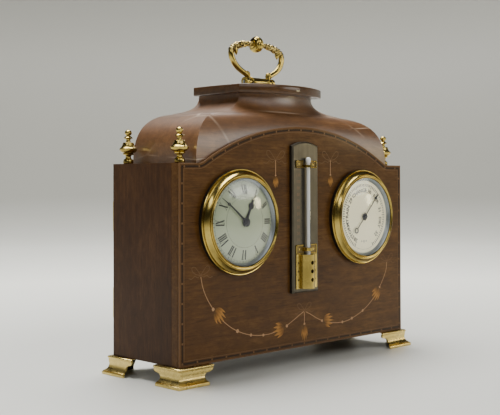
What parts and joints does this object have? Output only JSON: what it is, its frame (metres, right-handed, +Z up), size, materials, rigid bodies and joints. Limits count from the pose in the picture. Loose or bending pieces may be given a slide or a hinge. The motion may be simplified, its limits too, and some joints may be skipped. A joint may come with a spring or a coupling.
{
  "type": "desk compendium",
  "caption": "Arched mahogany desk compendium with a clock, a thermometer and an aneroid barometer, an ogee caddy top with a folding brass handle, turned finials and bracket feet.",
  "frame": {"origin": "centre of the bounding box at its bottom, on the surface the feet stand on", "axes": "+X to the right seen from the front, +Y from the dials to the back door, +Z up; the dials face -Y"},
  "size_m": [0.2514, 0.0922, 0.2472],
  "materials": {
    "front_mahogany": "polished",
    "side_mahogany": "polished",
    "caddy_mahogany": "gloss",
    "polished_brass": "polished",
    "satin_brass": "satin",
    "movement_brass": "brushed",
    "steel": "brushed",
    "blackened_steel": "satin black",
    "dial_enamel": "glazed white",
    "silvered_metal": "brushed",
    "clear_glass": "clear"
  },
  "bodies": {
    "case": {"front_board": "front_mahogany", "left_side": "side_mahogany", "right_side": "side_mahogany", "bottom_board": "side_mahogany", "deck": "side_mahogany", "lower_hinge_fixed_leaf": "satin_brass", "upper_hinge_fixed_leaf": "satin_brass", "caddy_top": "caddy_mahogany", "cap_board": "side_mahogany", "handle_plate": "polished_brass", "handle_pivot_rod": "steel", "finial_front_left": "polished_brass", "finial_front_right": "polished_brass", "finial_back_left": "polished_brass", "finial_back_right": "polished_brass", "foot_front_left": "satin_brass", "foot_front_right": "satin_brass", "foot_back_left": "satin_brass", "foot_back_right": "satin_brass", "thermometer_plate": "silvered_metal", "thermometer_tube": "clear_glass", "thermometer_upper_clip": "polished_brass", "thermometer_lower_clip": "polished_brass", "thermometer_bulb_guard": "polished_brass", "clock_bezel": "polished_brass", "clock_glass": "clear_glass", "clock_dial": "dial_enamel", "clock_drum": "satin_brass", "movement_front_plate": "movement_brass", "movement_back_plate": "movement_brass", "barometer_bezel": "polished_brass", "barometer_glass": "clear_glass", "barometer_dial": "silvered_metal", "barometer_pan": "satin_brass", "barometer_frame": "movement_brass", "aneroid_capsule": "silvered_metal", "barometer_leaf_spring": "steel"},
    "door": {"back_door": "side_mahogany", "lower_hinge_door_leaf": "satin_brass", "upper_hinge_door_leaf": "satin_brass", "door_knob": "polished_brass"},
    "bail": {"handle_bail": "polished_brass"},
    "centre_arbor": {"centre_wheel": "movement_brass", "cannon_pinion": "steel", "minute_hand": "blackened_steel", "hand_setting_knob": "polished_brass"},
    "hour_pipe": {"hour_wheel": "movement_brass", "hour_hand": "blackened_steel"},
    "motion_wheel": {"minute_wheel": "movement_brass"},
    "barrel": {"mainspring_barrel": "movement_brass"},
    "third_arbor": {"third_wheel": "movement_brass"},
    "fourth_arbor": {"fourth_wheel": "movement_brass"},
    "escape_arbor": {"escape_wheel": "steel"},
    "lever": {"pallet_lever": "steel"},
    "balance": {"balance_wheel": "movement_brass"},
    "key": {"winding_key": "steel"},
    "barometer_needle": {"pointer_arbor": "steel", "barometer_pointer": "blackened_steel"},
    "sector": {"toothed_sector": "movement_brass"},
    "screw": {"adjusting_screw": "steel"}
  },
  "joints": [
    {"name": "door_hinge", "type": "hinge", "parent": "case", "child": "door", "pos_m": [-0.113, 0.03923, 0.0807], "axis": [0, 0, 1], "range_deg": [0, 120]},
    {"name": "handle_fold", "type": "hinge", "parent": "case", "child": "bail", "pos_m": [0, 0.01112, 0.2122], "axis": [1, 0, 0], "range_deg": [-81, 87]},
    {"name": "minute_turn", "type": "hinge", "parent": "case", "child": "centre_arbor", "pos_m": [-0.0666, 0, 0.1076], "axis": [0, 1, 0], "continuous": true},
    {"name": "hour_turn", "type": "hinge", "parent": "case", "child": "hour_pipe", "pos_m": [-0.0666, -0.038, 0.1076], "axis": [0, 1, 0], "continuous": true},
    {"name": "motion_wheel_turn", "type": "hinge", "parent": "case", "child": "motion_wheel", "pos_m": [-0.05953, -0.035, 0.11168], "axis": [0, 1, 0], "continuous": true},
    {"name": "barrel_turn", "type": "hinge", "parent": "case", "child": "barrel", "pos_m": [-0.0666, -0.023, 0.09304], "axis": [0, 1, 0], "continuous": true},
    {"name": "third_turn", "type": "hinge", "parent": "case", "child": "third_arbor", "pos_m": [-0.07462, -0.02, 0.11562], "axis": [0, 1, 0], "continuous": true},
    {"name": "fourth_turn", "type": "hinge", "parent": "case", "child": "fourth_arbor", "pos_m": [-0.06446, -0.02, 0.11872], "axis": [0, 1, 0], "continuous": true},
    {"name": "escape_turn", "type": "hinge", "parent": "case", "child": "escape_arbor", "pos_m": [-0.05532, -0.02, 0.1154], "axis": [0, 1, 0], "continuous": true},
    {"name": "lever_rock", "type": "hinge", "parent": "case", "child": "lever", "pos_m": [-0.05213, -0.02, 0.1094], "axis": [0, 1, 0], "range_deg": [-4, 4]},
    {"name": "balance_swing", "type": "hinge", "parent": "case", "child": "balance", "pos_m": [-0.0491, -0.02, 0.1011], "axis": [0, 1, 0], "range_deg": [-135, 135]},
    {"name": "key_turn", "type": "hinge", "parent": "case", "child": "key", "pos_m": [-0.0666, 0, 0.09304], "axis": [0, 1, 0], "continuous": true},
    {"name": "pointer_turn", "type": "hinge", "parent": "case", "child": "barometer_needle", "pos_m": [0.0666, -0.034, 0.1076], "axis": [0, 1, 0], "range_deg": [-175, 87]},
    {"name": "sector_rock", "type": "hinge", "parent": "case", "child": "sector", "pos_m": [0.0496, -0.032, 0.1076], "axis": [0, 1, 0], "range_deg": [-12, 24]},
    {"name": "screw_turn", "type": "hinge", "parent": "case", "child": "screw", "pos_m": [0.0666, -0.013, 0.0861], "axis": [0, 1, 0], "continuous": true}
  ],
  "couplings": [
    {"joint": "hour_turn", "follows": "minute_turn", "ratio": 0.083333},
    {"joint": "motion_wheel_turn", "follows": "minute_turn", "ratio": -0.33333},
    {"joint": "barrel_turn", "follows": "minute_turn", "ratio": -0.16667},
    {"joint": "third_turn", "follows": "minute_turn", "ratio": -8},
    {"joint": "escape_turn", "follows": "fourth_turn", "ratio": -8},
    {"joint": "sector_rock", "follows": "pointer_turn", "ratio": -0.13333}
  ]
}
